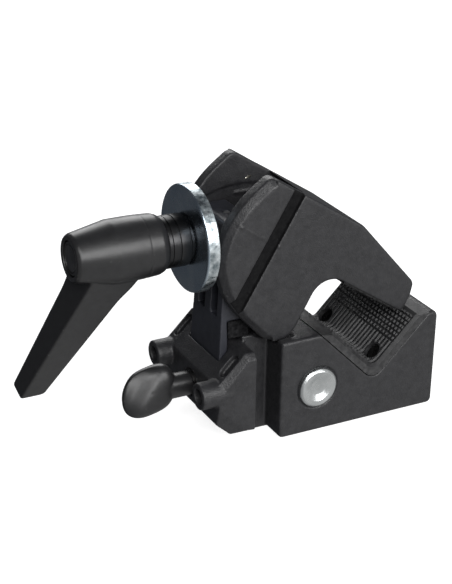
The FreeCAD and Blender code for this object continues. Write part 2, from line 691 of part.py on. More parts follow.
def lever_handle():
    hub = turned_x([(COLLAR_BACK, 9.9), (-80.6, 10.7), (-82.4, 11.4), (-84.4, 11.6), (-91.4, 11.85),
                    (-99.4, 11.85), (-104.4, 11.4), (-110.6, 9.9), (-114.0, 8.9), (HUB_END, 8.2)])
    top = rounded_section(-106.7, -86.9, 7.9, 1.6, 2.0)
    tip = rounded_section(-130.3, -120.6, 4.4, 1.6, ARM_LENGTH)
    arm = Part.makeLoft([top, tip], True, True)
    end = edges_where(arm, lambda p: abs(p.z - (STUD_Z - ARM_LENGTH)) < NEAR)
    arm = arm.makeFillet(0.9, end)
    arm.rotate(vec(0, 0, STUD_Z), vec(1, 0, 0), ARM_SWING)
    handle = hub.fuse(arm).removeSplitter()
    handle = handle.cut(rod_x(SPLINE_RADIUS + RING_PLAY, CORE_END - 0.3, COLLAR_BACK + 1))
    handle = handle.cut(rod_x(RING_OUTER, CORE_END, RING_FRONT))
    handle = handle.cut(rod_x(RETAINER + 0.6, HUB_END - 1, COLLAR_BACK))
    return handle.cut(rod_x(6.6, HUB_END - 1, SHOULDER))


# ---- lock screw of the hex socket ---------------------------------------------------------------
def lock_screw():
    """The steel screw: threaded through the block's wall, with a thin core inside the knob."""
    thread_radius = LOCK_SCREW_RADIUS - RUN_CLEARANCE
    thread = rod_x(thread_radius, SLEEVE_END - THREAD_IN_KNOB, TIP_BACK, 0, LOCK_SCREW_Z)
    core = rod_x(KNOB_CORE, KNOB_CORE_END, SLEEVE_END, 0, LOCK_SCREW_Z)
    stem_bore = rod_x(TIP_STEM + RUN_CLEARANCE, TIP_BACK - TIP_BORE_DEPTH, TIP_BACK + 1, 0,
                      LOCK_SCREW_Z)
    return thread.fuse(core).removeSplitter().cut(stem_bore)


def screw_tip():
    """The brass pressure tip on the screw's end, flush with the socket's flat at rest."""
    pad = rod_x(TIP_PAD, TIP_BACK, TIP_BACK + TIP_PAD_THICK, 0, LOCK_SCREW_Z)
    stem = rod_x(TIP_STEM, TIP_BACK - TIP_STEM_LENGTH, TIP_BACK, 0, LOCK_SCREW_Z)
    return pad.fuse(stem).removeSplitter()


def lock_knob():
    """An oval paddle, moulded over the screw, with a round sleeve that runs to the block."""
    middle = (KNOB_LEFT + KNOB_RIGHT) / 2
    ellipse = Part.Ellipse(vec(0, 0, 0), (KNOB_RIGHT - KNOB_LEFT) / 2, KNOB_HALF_TALL)
    face = Part.Face(Part.Wire(ellipse.toShape()))
    face.translate(vec(0, 0, -KNOB_HALF_THICK))
    paddle = face.extrude(vec(0, 0, 2 * KNOB_HALF_THICK))
    rims = edges_where(paddle, lambda p: abs(abs(p.z) - KNOB_HALF_THICK) < NEAR)
    paddle = paddle.makeFillet(KNOB_ROUND, rims)
    paddle.rotate(vec(0, 0, 0), vec(1, 0, 0), 90 + KNOB_LEAN)
    paddle.translate(vec(middle, 0, LOCK_SCREW_Z))
    sleeve = rod_x(KNOB_SLEEVE, middle, SLEEVE_END, 0, LOCK_SCREW_Z)
    return paddle.fuse(sleeve).removeSplitter().cut(lock_screw())


# ---- export -------------------------------------------------------------------------------------
NODES = {
    "body_casting": body_casting,
    "jaw_liner": jaw_liner,
    "liner_screws": liner_screws,
    "arm_rivet": arm_rivet,
    "tension_arm": tension_arm,
    "spacer_blocks": spacer_blocks,
    "hinge_pins": hinge_pins,
    "threaded_stud": threaded_stud,
    "stud_cross_pin": stud_cross_pin,
    "upper_jaw": upper_jaw,
    "jaw_pad": jaw_pad,
    "pad_screws": pad_screws,
    "pressure_washer": pressure_washer,
    "friction_ring": friction_ring,
    "lever_insert": lever_insert,
    "retaining_screw": retaining_screw,
    "lever_spring": lever_spring,
    "spline_ring": spline_ring,
    "lever_handle": lever_handle,
    "lock_screw": lock_screw,
    "screw_tip": screw_tip,
    "lock_knob": lock_knob,
}

os.makedirs("parts", exist_ok=True)
for name, make in NODES.items():
    shape = make()
    box = shape.BoundBox
    print(f"{name:18s} solids {len(shape.Solids)} valid {shape.isValid()} volume {shape.Volume:9.1f} "
          f"x {box.XMin:.1f}..{box.XMax:.1f} y {box.YMin:.1f}..{box.YMax:.1f} "
          f"z {box.ZMin:.1f}..{box.ZMax:.1f}")
    shape.exportStep(f"parts/{name}.step")
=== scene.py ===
import json
import math
import bmesh
import bpy
import numpy as np
from mathutils import Matrix, Vector


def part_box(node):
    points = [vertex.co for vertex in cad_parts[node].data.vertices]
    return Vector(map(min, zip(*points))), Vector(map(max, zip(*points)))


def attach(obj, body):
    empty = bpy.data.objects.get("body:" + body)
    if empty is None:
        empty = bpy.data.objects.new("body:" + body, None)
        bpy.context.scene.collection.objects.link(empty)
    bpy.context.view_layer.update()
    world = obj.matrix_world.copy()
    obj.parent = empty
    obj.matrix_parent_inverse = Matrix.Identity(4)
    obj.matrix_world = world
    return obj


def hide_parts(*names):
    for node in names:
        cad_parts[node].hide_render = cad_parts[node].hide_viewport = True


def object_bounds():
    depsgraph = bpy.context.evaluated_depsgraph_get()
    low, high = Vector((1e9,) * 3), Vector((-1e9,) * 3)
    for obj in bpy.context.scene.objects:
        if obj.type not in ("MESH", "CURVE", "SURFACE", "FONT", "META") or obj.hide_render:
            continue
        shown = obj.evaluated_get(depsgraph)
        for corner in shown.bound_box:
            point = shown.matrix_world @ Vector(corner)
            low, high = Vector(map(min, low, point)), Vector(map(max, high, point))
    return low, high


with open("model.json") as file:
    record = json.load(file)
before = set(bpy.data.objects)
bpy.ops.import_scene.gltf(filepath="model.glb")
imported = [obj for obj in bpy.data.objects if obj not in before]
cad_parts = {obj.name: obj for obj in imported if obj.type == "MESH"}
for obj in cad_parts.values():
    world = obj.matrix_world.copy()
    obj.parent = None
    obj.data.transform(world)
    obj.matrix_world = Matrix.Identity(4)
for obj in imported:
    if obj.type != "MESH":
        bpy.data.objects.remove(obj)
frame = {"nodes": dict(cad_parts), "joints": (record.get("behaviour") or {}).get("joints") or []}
CAD_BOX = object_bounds()
NODES = frame["nodes"]
JOINTS = {joint["name"]: joint for joint in frame["joints"]}
MM = 0.001
HINGE = Vector(JOINTS["jaw_hinge"]["pos_m"]) / MM
STUD = Vector(JOINTS["lever_turn"]["pos_m"]) / MM
LOCK = Vector(JOINTS["lock_turn"]["pos_m"]) / MM
X_AXIS, Y_AXIS = 0, 1
CENTRE = 0.01           # radius at which a turned face ends in a small cap, in place of a point
WELD = 0.002            # points closer than this are one
SHEET_STEP = 0.22       # spacing of a relief sheet's points
BORE = 6.06             # radius of the holes that run on the stud


def box_mm(node):
    low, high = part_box(node)
    return low / MM, high / MM


# ---- mesh helpers -------------------------------------------------------------------------------
SHARP = math.radians(35.0)


def add_mesh(name, points, faces):
    """An object from points in millimetres, with outward normals and smooth shading."""
    mesh = bpy.data.meshes.new(name)
    mesh.from_pydata([tuple(Vector(p) * MM) for p in points], [], faces)
    bm = bmesh.new()
    bm.from_mesh(mesh)
    bmesh.ops.recalc_face_normals(bm, faces=bm.faces)
    bm.to_mesh(mesh)
    bm.free()
    mesh.shade_smooth()
    mesh.set_sharp_from_angle(angle=SHARP)
    piece = bpy.data.objects.new(name, mesh)
    bpy.context.scene.collection.objects.link(piece)
    return piece


def bake(piece):
    """Turns a piece's modifiers into its mesh."""
    graph = bpy.context.evaluated_depsgraph_get()
    baked = bpy.data.meshes.new_from_object(piece.evaluated_get(graph))
    piece.modifiers.clear()
    old = piece.data
    piece.data = baked
    bpy.data.meshes.remove(old)
    baked.shade_smooth()
    return piece


def coordinates(piece):
    values = np.empty(len(piece.data.vertices) * 3)
    piece.data.vertices.foreach_get("co", values)
    return values.reshape(-1, 3) / MM


def set_coordinates(piece, values):
    piece.data.vertices.foreach_set("co", (values * MM).ravel())
    piece.data.update()


def remeshed(piece, voxel, rounds, keep):
    """One skin over a closed piece, its edges rounded off, thinned to a share of its faces."""
    remesh = piece.modifiers.new("skin", "REMESH")
    remesh.mode = "VOXEL"
    remesh.voxel_size = voxel * MM
    smooth = piece.modifiers.new("round", "SMOOTH")
    smooth.factor = 0.5
    smooth.iterations = rounds
    thin = piece.modifiers.new("thin", "DECIMATE")
    thin.ratio = keep
    return bake(piece)


def cad_copy(name, node):
    """A closed copy of a CAD node's mesh, as the start of a finer piece."""
    piece = bpy.data.objects.new(name, NODES[node].data.copy())
    bpy.context.scene.collection.objects.link(piece)
    bm = bmesh.new()
    bm.from_mesh(piece.data)
    bmesh.ops.remove_doubles(bm, verts=bm.verts, dist=WELD * MM)
    bm.to_mesh(piece.data)
    bm.free()
    piece.data.materials.clear()
    return piece


def joined(name, pieces):
    bpy.ops.object.select_all(action="DESELECT")
    for piece in pieces:
        piece.select_set(True)
    bpy.context.view_layer.objects.active = pieces[0]
    bpy.ops.object.join()
    pieces[0].name = name
    return pieces[0]


def softened(corners, steps=6, closed=False):
    """A 2-D path with its (a, b, radius) corners rounded."""
    path = []
    count = len(corners)
    for i, (a, b, radius) in enumerate(corners):
        corner = Vector((a, b))
        if radius == 0 or (not closed and i in (0, count - 1)):
            path.append((a, b))
            continue
        before = (Vector(corners[i - 1][:2]) - corner).normalized()
        after = (Vector(corners[(i + 1) % count][:2]) - corner).normalized()
        half = before.angle(after) / 2
        centre = corner + (before + after).normalized() * (radius / math.sin(half))
        start = corner + before * (radius / math.tan(half)) - centre
        end = corner + after * (radius / math.tan(half)) - centre
        for k in range(steps + 1):
            spoke = start.lerp(end, k / steps).normalized() * radius
            path.append(tuple(centre + spoke))
    return path


def lathe(name, path, centre, axis=X_AXIS, segments=160, closed=False, offset=None):
    """A turned piece. The path holds (along, radius); offset(along, angle) adds to the radius."""
    points, faces = [], []
    for along, radius in path:
        for k in range(segments):
            angle = 2 * math.pi * k / segments
            reach = radius + (offset(along, angle) if offset else 0)
            p, q = reach * math.cos(angle), reach * math.sin(angle)
            if axis == X_AXIS:
                points.append((along, centre[1] + p, centre[2] + q))
            else:
                points.append((centre[0] + p, along, centre[2] + q))
    rows = len(path)
    for i in range(rows if closed else rows - 1):
        for k in range(segments):
            j, m = (i + 1) % rows, (k + 1) % segments
            faces.append((i * segments + k, i * segments + m, j * segments + m, j * segments + k))
    if not closed:
        faces.append(tuple(range(segments)))
        faces.append(tuple(range((rows - 1) * segments, rows * segments)))
    return add_mesh(name, points, faces)


def resampled(path, step):
    """Evenly spaced points of a 2-D path, with the distance of each along it."""
    path = np.array(path)
    runs = np.hypot(*np.diff(path, axis=0).T)
    at = np.concatenate([[0], np.cumsum(runs)])
    wanted = np.linspace(0, at[-1], int(at[-1] / step) + 2)
    return np.column_stack([np.interp(wanted, at, path[:, i]) for i in (0, 1)]), wanted


def relief_sheet(name, face_path, back_path, half, height):
    """A sheet with a relief on its face: XZ paths of face and back, and a height over (along, y)."""
    face, along = resampled(face_path, SHEET_STEP)
    ends = np.linspace(0, 1, len(face))
    back, back_along = resampled(back_path, SHEET_STEP)
    back_share = back_along / back_along[-1]
    back = np.column_stack([np.interp(ends, back_share, back[:, i]) for i in (0, 1)])
    slope = np.gradient(face, axis=0)
    slope /= np.hypot(*slope.T)[:, None]
    normal = np.column_stack([-slope[:, 1], slope[:, 0]])
    if np.dot(normal[0], face[0] - back[0]) < 0:
        normal = -normal
    ys = np.linspace(-half, half, int(2 * half / SHEET_STEP) + 1)
    lift = height(along[:, None], ys[None, :])
    rows, columns = lift.shape
    points = np.empty((rows, columns, 3))
    points[:, :, 0] = face[:, None, 0] + normal[:, None, 0] * lift
    points[:, :, 1] = ys[None, :]
    points[:, :, 2] = face[:, None, 1] + normal[:, None, 1] * lift
    verts = [tuple(p) for p in points.reshape(-1, 3)]
    first = len(verts)
    for x, z in back:
        verts += [(x, -half, z), (x, half, z)]
    faces = []
    for i in range(rows - 1):
        for k in range(columns - 1):
            a = i * columns + k
            faces.append((a, a + 1, a + columns + 1, a + columns))
        b = first + 2 * i
        faces.append((b, b + 1, b + 3, b + 2))
        left, right = i * columns, (i + 1) * columns - 1
        faces.append((left, left + columns, b + 2, b))
        faces.append((right, right + columns, b + 3, b + 1))
    for row, b in ((0, first), (rows - 1, first + 2 * (rows - 1))):
        faces.append(tuple(range(row * columns, (row + 1) * columns)) + (b + 1, b))
    return add_mesh(name, verts, faces)


def smoothstep(low, high, value):
    t = np.clip((value - low) / (high - low), 0, 1)
    return t * t * (3 - 2 * t)


# ---- materials ----------------------------------------------------------------------------------
def principled(name, colour, roughness, metallic=0.0, specular=0.5):
    material = bpy.data.materials.new(name)
    material.use_nodes = True
    shader = material.node_tree.nodes["Principled BSDF"]
    shader.inputs["Base Color"].default_value = (*colour, 1)
    shader.inputs["Roughness"].default_value = roughness
    shader.inputs["Metallic"].default_value = metallic
    shader.inputs["Specular IOR Level"].default_value = specular
    return material


def noise(material, scale, detail=3.0, stretch=(1, 1, 1), roughness=0.5):
    """A noise in the object's own coordinates; scale is in features per metre."""
    nodes, links = material.node_tree.nodes, material.node_tree.links
    place = nodes.new("ShaderNodeTexCoord")
    mapping = nodes.new("ShaderNodeMapping")
    mapping.inputs["Scale"].default_value = stretch
    texture = nodes.new("ShaderNodeTexNoise")
    texture.inputs["Scale"].default_value = scale
    texture.inputs["Detail"].default_value = detail
    texture.inputs["Roughness"].default_value = roughness
    links.new(place.outputs["Object"], mapping.inputs["Vector"])
    links.new(mapping.outputs["Vector"], texture.inputs["Vector"])
    return texture.outputs["Fac"]


def ramp(material, value, stops):
    """A colour ramp over a value; stops hold (position, colour), or (position, (grey,))."""
    node = material.node_tree.nodes.new("ShaderNodeValToRGB")
    for i, (position, colour) in enumerate(stops):
        stop = node.color_ramp.elements[i] if i < 2 else node.color_ramp.elements.new(position)
        stop.position = position
        stop.color = (*colour, 1) if len(colour) == 3 else (colour[0], colour[0], colour[0], 1)
    material.node_tree.links.new(value, node.inputs["Fac"])
    return node.outputs["Color"]


def mixed(material, share, one, other):
    node = material.node_tree.nodes.new("ShaderNodeMix")
    node.data_type = "RGBA"
    material.node_tree.links.new(share, node.inputs["Factor"])
    material.node_tree.links.new(one, node.inputs["A"])
    material.node_tree.links.new(other, node.inputs["B"])
    return node.outputs["Result"]


def plug(material, output, socket):
    shader = material.node_tree.nodes["Principled BSDF"]
    material.node_tree.links.new(output, shader.inputs[socket])


def bump(material, heights):
    """Bumps stacked on each other; heights hold (value, depth in metres, strength)."""
    nodes, links = material.node_tree.nodes, material.node_tree.links
    last = None
    for value, depth, strength in heights:
        node = nodes.new("ShaderNodeBump")
        node.inputs["Distance"].default_value = depth
        node.inputs["Strength"].default_value = strength
        links.new(value, node.inputs["Height"])
        if last:
            links.new(last, node.inputs["Normal"])
        last = node.outputs["Normal"]
    links.new(last, nodes["Principled BSDF"].inputs["Normal"])


CLOUDS, PATCHES, GLOSS_PATCHES = 420, 700, 260      # features per metre
GRAIN_STRENGTH = 0.55
RIPPLE, RIPPLE_DEPTH, RIPPLE_STRENGTH = 120, 0.00025, 0.12


def coated(name, dark, light, rough, grain, grain_depth, wear_and_highlight_colour, specular=0.5):
    """A black coat: cloudy colour, grain, uneven gloss, and sharp edges painted lighter, partly as
    rubbing and partly as a painted edge highlight.
    """
    material = principled(name, dark, rough[0], specular=specular)
    clouds = noise(material, CLOUDS, 8.0, roughness=0.75)
    colour = ramp(material, clouds, [(0.36, dark), (0.64, light)])
    # Sharp edges get a lighter colour: part rubbing, part painted highlight along the edges.
    edge = material.node_tree.nodes.new("ShaderNodeNewGeometry").outputs["Pointiness"]
    edge_wear_and_highlight = ramp(material, edge, [(0.52, (0.0,)), (0.6, (1.0,))])
    worn_and_highlit_colour = ramp(material, noise(material, PATCHES, 2.0), [(0.35, dark), (0.7, wear_and_highlight_colour)])
    plug(material, mixed(material, edge_wear_and_highlight, colour, worn_and_highlit_colour), "Base Color")
    gloss = ramp(material, noise(material, GLOSS_PATCHES, 3.0), [(0.3, rough[:1]), (0.75, rough[1:])])
    plug(material, gloss, "Roughness")
    bump(material, [(noise(material, grain, 2.0), grain_depth, GRAIN_STRENGTH),
                    (noise(material, RIPPLE, 2.0), RIPPLE_DEPTH, RIPPLE_STRENGTH)])
    return material


METAL_GLOSS, METAL_LINES, LINE_STRENGTH = 400, 900, 0.35


def turned_metal(name, dark, light, rough, axis_scale, depth, mottle=60):
    """Machined metal: fine lines around an axis, and a cloudy tint."""
    material = principled(name, light, rough[0], metallic=1.0)
    clouds = noise(material, mottle, 4.0)
    plug(material, ramp(material, clouds, [(0.32, dark), (0.68, light)]), "Base Color")
    gloss = ramp(material, noise(material, METAL_GLOSS, 3.0), [(0.3, rough[:1]), (0.7, rough[1:])])
    plug(material, gloss, "Roughness")
    lines = noise(material, METAL_LINES, 2.0, axis_scale)
    bump(material, [(lines, depth, LINE_STRENGTH)])
    return material


CASTING = coated("casting_black_coat", (0.011, 0.011, 0.0125), (0.024, 0.024, 0.026),
                 rough=(0.40, 0.54), grain=1700, grain_depth=0.00030, wear_and_highlight_colour=(0.060, 0.060, 0.062))
# A darker coat than the casting's, for the groove across the cheek and the spacer blocks: painted shade
# of these recessed faces.
GROOVE_SHADE_COAT = coated("casting_groove_painted_shade", (0.004, 0.004, 0.0045), (0.009, 0.009, 0.0095),
                     rough=(0.7, 0.9), grain=900, grain_depth=0.0004, wear_and_highlight_colour=(0.016, 0.016, 0.017),
                     specular=0.1)
ARM_COAT = coated("arm_black_coat", (0.018, 0.019, 0.025), (0.026, 0.028, 0.036),
                  rough=(0.36, 0.5), grain=1800, grain_depth=0.00006, wear_and_highlight_colour=(0.060, 0.062, 0.070))
HANDLE = coated("handle_satin_plastic", (0.012, 0.012, 0.0125), (0.017, 0.017, 0.018),
                rough=(0.30, 0.38), grain=3600, grain_depth=0.00003, wear_and_highlight_colour=(0.040, 0.040, 0.040))
PAD = coated("pad_moulded_plastic", (0.014, 0.014, 0.015), (0.022, 0.022, 0.023),
             rough=(0.45, 0.6), grain=2000, grain_depth=0.00005, wear_and_highlight_colour=(0.045, 0.045, 0.046))
EVEN_LINES = (1, 1, 1)     # stretch of the fine lines: even, or drawn out around the X axis
ZINC = turned_metal("zinc_plate", (0.34, 0.42, 0.50), (0.52, 0.58, 0.62),
                    rough=(0.2, 0.3), axis_scale=EVEN_LINES, depth=0.00002, mottle=90)
RIM_ZINC = turned_metal("zinc_sheared_rim", (0.16, 0.20, 0.22), (0.80, 0.86, 0.88),
                        rough=(0.22, 0.5), axis_scale=(0.35, 1, 1), depth=0.0003, mottle=420)
RIVET_METAL = turned_metal("rivet_bright_zinc", (0.5, 0.52, 0.52), (0.68, 0.7, 0.7),
                           rough=(0.24, 0.34), axis_scale=EVEN_LINES, depth=0.00004, mottle=140)
# Near-black, dull coat for the liner screws deep in their holes: painted shade.
HOLE_SHADE_BLACK = coated("hole_painted_shade_black", (0.004, 0.004, 0.004), (0.008, 0.008, 0.008),
                    rough=(0.7, 0.9), grain=2000, grain_depth=0.00005, wear_and_highlight_colour=(0.010, 0.010, 0.010),
                    specular=0.1)
DARK_STEEL = turned_metal("dark_turned_steel", (0.035, 0.035, 0.036), (0.060, 0.060, 0.062),
                          rough=(0.28, 0.4), axis_scale=(1, 0.03, 0.03), depth=0.00005)
STEEL = turned_metal("plain_steel", (0.38, 0.38, 0.38), (0.55, 0.55, 0.54),
                     rough=(0.25, 0.4), axis_scale=(1, 0.05, 0.05), depth=0.00004)
BRASS = turned_metal("turned_brass", (0.50, 0.36, 0.14), (0.68, 0.52, 0.24),
                     rough=(0.25, 0.4), axis_scale=(1, 0.05, 0.05), depth=0.00004)
BARE = turned_metal("bare_aluminium", (0.75, 0.72, 0.60), (0.92, 0.90, 0.80),
                    rough=(0.2, 0.35), axis_scale=EVEN_LINES, depth=0.00004)


def dress(piece, material, body, slot, *nodes):
    """Gives a piece its material and body, and takes the place of the CAD nodes named. The slot
    argument is not used.
    """
    piece.data.materials.clear()
    piece.data.materials.append(material)
    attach(piece, body)
    if nodes:
        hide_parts(*nodes)


# ---- castings -----------------------------------------------------------------------------------
body = remeshed(cad_copy("body_shell", "body_casting"), voxel=0.36, rounds=9, keep=0.45)
dress(body, CASTING, "clamp_body", "casting_black", "body_casting")

arm = remeshed(cad_copy("arm_post", "tension_arm"), voxel=0.34, rounds=8, keep=0.45)
dress(arm, ARM_COAT, "clamp_body", "arm_black", "tension_arm")

jaw = remeshed(cad_copy("jaw_shell", "upper_jaw"), voxel=0.36, rounds=10, keep=0.5)
jaw_points = coordinates(jaw)
from_hinge = np.hypot(jaw_points[:, 0] - HINGE.x, jaw_points[:, 2] - HINGE.z)
CHEEK_INNER = 13.5                  # half the gap between the cheeks
INNER_STEP, LEDGE_STEP = 0.7, 0.5   # how far the rim band and the ledge stand out from that face
CHEEK_OUTER = 19.0
on_inner = np.abs(np.abs(jaw_points[:, 1]) - CHEEK_INNER) < 0.25
rim_band = smoothstep(40.2, 40.8, from_hinge) * (jaw_points[:, 0] < -24)
ledge = (smoothstep(-43.2, -42.2, jaw_points[:, 0]) * (1 - smoothstep(-34.4, -33.4, jaw_points[:, 0]))
         * smoothstep(86.2, 87.3, jaw_points[:, 2]) * (1 - smoothstep(87.5, 88.0, jaw_points[:, 2])))
jaw_points[:, 1] -= np.sign(jaw_points[:, 1]) * (INNER_STEP * rim_band + LEDGE_STEP * ledge) * on_inner


def beside_line(points, start, end):
    """Distance of XZ points from a line, and the share of the way along it."""
    run = np.array(end) - np.array(start)
    offset = points[:, [0, 2]] - np.array(start)
    share = offset @ run / (run @ run)
    return np.abs(offset[:, 0] * run[1] - offset[:, 1] * run[0]) / np.hypot(*run), share


SEAM_START, SEAM_END = (-57.0, 88.1), (-40.7, 77.1)
SEAM_PROUD = 0.3
gap, share = beside_line(jaw_points, SEAM_START, SEAM_END)
seam = (1 - smoothstep(0.15, 0.75, gap)) * (share > -0.05) * (share < 1.0)
wobble = 0.6 + 0.4 * np.sin(share * 37) * np.sin(share * 11 + 1)
on_near = jaw_points[:, 1] < -CHEEK_OUTER
jaw_points[:, 1] -= SEAM_PROUD * seam * wobble * on_near
set_coordinates(jaw, jaw_points)
dress(jaw, CASTING, "jaw", "casting_black", "upper_jaw")
jaw.data.materials.append(GROOVE_SHADE_COAT)
GROOVE_DEPTH, GROOVE_HALF = 1.8, 2.75
GROOVE_X, GROOVE_Z = -45.4, 76.35   # a point on the groove's centre line
GROOVE_RUN = 12
GROOVE_RISE = GROOVE_RUN * math.tan(math.radians(59.2))
GROOVE_FLOOR = box_mm("upper_jaw")[1].y - GROOVE_DEPTH
GROOVE_LINE = ((GROOVE_X - GROOVE_RUN, GROOVE_Z - GROOVE_RISE),
               (GROOVE_X + GROOVE_RUN, GROOVE_Z + GROOVE_RISE))
# Faces inside the groove take the darker coat: painted shade in the groove.
centres = np.empty(len(jaw.data.polygons) * 3)
jaw.data.polygons.foreach_get("center", centres)
centres = centres.reshape(-1, 3) / MM
gap, share = beside_line(centres, *GROOVE_LINE)
groove_shade_faces = ((gap < GROOVE_HALF) & (np.abs(centres[:, 1]) < GROOVE_FLOOR + 1.5)
             & (np.abs(centres[:, 1]) > GROOVE_FLOOR - 0.3))
jaw.data.polygons.foreach_set("material_index", groove_shade_faces.astype(np.int32))


# ---- grip faces ---------------------------------------------------------------------------------
GRIP_PITCH, GRIP_ROW, GRIP_PROUD = 2.2, 1.9, 0.55


def grip(along, y, length, half, border, plain_from, plain_to):
    """Ridges along the sheet that break up into staggered studs outside the plain stretch."""
    number = np.floor(along / GRIP_ROW)
    shifted = y + np.where(number % 2 == 0, 0.0, GRIP_PITCH / 2)
    plain = (smoothstep(plain_from - 1, plain_from, along)
             * (1 - smoothstep(plain_to, plain_to + 1, along)))
    lane = np.where(plain > 0.5, y, shifted)
    ridge = smoothstep(-0.35, 0.25, np.cos(2 * np.pi * lane / GRIP_PITCH))
    gap = 1 - smoothstep(0.62, 0.82, np.abs((along / GRIP_ROW) % 1 - 0.5) * 2)
    stud = ridge * np.maximum(gap, plain)
    inside = (smoothstep(border, border + 0.3, half - np.abs(y))
              * smoothstep(border - 0.4, border, np.minimum(along, length - along)))
    return GRIP_PROUD * stud * inside


liner_low, liner_high = box_mm("jaw_liner")
LINER_HALF = liner_high.y
V_BACK = liner_high.x
V_TOP = liner_high.z
V_THICK = 5.5
FACE_HALF = V_BACK - V_THICK
FACE_ROUND, BACK_ROUND = 3.6, 5.0
LINER_GAP = 0.3         # between the liner's back and the casting
V_STEPS = 14
face_path = softened([(-FACE_HALF, V_TOP, 0), (0, V_TOP - FACE_HALF, FACE_ROUND),
                      (FACE_HALF, V_TOP, 0)], V_STEPS)
back_path = softened([(-V_BACK + LINER_GAP, V_TOP, 0), (0, V_TOP - V_BACK + LINER_GAP, BACK_ROUND),
                      (V_BACK - LINER_GAP, V_TOP, 0)], V_STEPS)
liner_length = resampled(face_path, SHEET_STEP)[1][-1]
screw_low, screw_high = box_mm("liner_screws")
LINER_SCREW_Y = (screw_high.y - screw_low.y) / 2 - 3.1
LINER_SCREW_AT = liner_length / 2 + 3.4 * math.sqrt(2) - 0.8
LINER_BORDER, PLAIN_HALF = 1.9, 11
CHAMFER, CHAMFER_SLOPE = 1.3, 0.8
HOLE_EDGE, LAND_EDGE = (3.1, 3.35), (3.9, 4.1)
HOLE_DEPTH, LAND_PROUD = 2.6, 0.15


def liner_height(along, y):
    """The liner's grip, its chamfered edges and the two round screw holes with a land around each."""
    relief = grip(along, y, liner_length, LINER_HALF, LINER_BORDER,
                  liner_length / 2 - PLAIN_HALF, liner_length / 2 + PLAIN_HALF)
    relief = relief - np.maximum(np.abs(y) - LINER_HALF + CHAMFER, 0) * CHAMFER_SLOPE
    for side in (-1, 1):
        reach = np.hypot(along - LINER_SCREW_AT, y - side * LINER_SCREW_Y)
        hole = 1 - smoothstep(*HOLE_EDGE, reach)
        land = 1 - smoothstep(*LAND_EDGE, reach)
        relief = relief * (1 - land) + LAND_PROUD * land * (1 - hole) - HOLE_DEPTH * hole
    return relief


liner = relief_sheet("liner_grip", face_path, back_path, LINER_HALF, liner_height)
dress(liner, PAD, "clamp_body", "pad_black", "jaw_liner")

pad_low, pad_high = box_mm("jaw_pad")
PAD_RUN, PAD_RISE = 23.8, 15.76
PAD_THICK, PAD_INSET = 3.0, 0.35    # the inset leaves room for the studs inside the CAD pad
PAD_BORDER = 0.9
PAD_SLOPE = Vector((-PAD_RUN, 0, PAD_RISE)).normalized()
PAD_IN = Vector((PAD_SLOPE.z, 0, -PAD_SLOPE.x))
pad_start = Vector((pad_high.x - PAD_THICK * PAD_IN.x, 0, pad_low.z + PAD_INSET * PAD_IN.z))
PAD_LENGTH = math.hypot(PAD_RUN, PAD_RISE)
pad_end = pad_start + PAD_SLOPE * PAD_LENGTH
pad_face = [(pad_start.x, pad_start.z), (pad_end.x, pad_end.z)]
pad_back = [(x + PAD_THICK * PAD_IN.x, z + PAD_THICK * PAD_IN.z) for x, z in pad_face]


def pad_height(along, y):
    """Studs all over: the plain stretch ends before the pad begins."""
    return grip(along, y, PAD_LENGTH, pad_high.y, PAD_BORDER, -3.0, -2.0)


pad = relief_sheet("pad_grip", pad_face, pad_back, pad_high.y, pad_height)
dress(pad, PAD, "jaw", "pad_black", "jaw_pad")

# ---- rivet --------------------------------------------------------------------------------------
rivet_low, rivet_high = box_mm("arm_rivet")
RIVET = (rivet_low + rivet_high) / 2
top = rivet_high.y
RIVET_SHANK, RIVET_HEAD = 5.0, 8.0
DIMPLES = ((0.05, 3, 0.7), (0.03, 7, 0.0))      # height, number around the rim, and phase
rim_path = [(-top + depth, radius, rounding) for depth, radius, rounding in (
    (3.2, CENTRE, 0), (3.2, RIVET_SHANK, 0), (2.2, RIVET_SHANK, 0), (2.2, RIVET_HEAD, 0),
    (0.9, RIVET_HEAD, 0.7), (0, 6.9, 1.0), (0.25, 5.4, 1.2), (1.4, 3.0, 2.0), (1.6, 1.4, 1.5),
    (1.5, CENTRE, 0))]


def dimple(angle):
    """A slight unevenness of the hammered rim."""
    return sum(height * math.sin(number * angle + phase) for height, number, phase in DIMPLES)


heads = []
for mirror in (1, -1):
    path = [(a * mirror, r) for a, r in softened(rim_path)]
    heads.append(lathe("rivet_head_%s" % ("near" if mirror == 1 else "far"), path, RIVET, Y_AXIS, 128,
                       offset=lambda along, angle: dimple(angle) if abs(along) > top - 1.0 else 0.0))
rivet_ring = joined("rivet_heads", heads)
dress(rivet_ring, RIVET_METAL, "clamp_body", "zinc", "arm_rivet")

# ---- washer, ring and stud ----------------------------------------------------------------------
washer_low, washer_high = box_mm("pressure_washer")
WASHER_RADIUS = 20.3
FRONT_ROUND, REAR_ROUND = 1.0, 0.35
RIM_MARK = 0.035
front, rear = washer_low.x, washer_high.x
washer_path = softened([(front, BORE, 0.3), (front, WASHER_RADIUS, FRONT_ROUND),
                        (rear, WASHER_RADIUS, REAR_ROUND), (rear, BORE, 0.3)], 6, True)


def sheared(angle):
    """Shallow marks across the washer's rim, as a press leaves them."""
    return -RIM_MARK * (1 + math.sin(61 * angle + 2.1 * math.sin(5 * angle)))


washer = lathe("washer_disc", washer_path, STUD, X_AXIS, 256, True, lambda along, angle: (
    sheared(angle) if front + FRONT_ROUND < along < rear - 0.4 else 0.0))
dress(washer, ZINC, "washer", "zinc", "pressure_washer")
washer.data.materials.append(RIM_ZINC)
for face in washer.data.polygons:
    reach = math.hypot(face.center.y / MM - STUD.y, face.center.z / MM - STUD.z)
    if reach > WASHER_RADIUS - 0.5 and face.center.x / MM > front + 0.9:
        face.material_index = 1

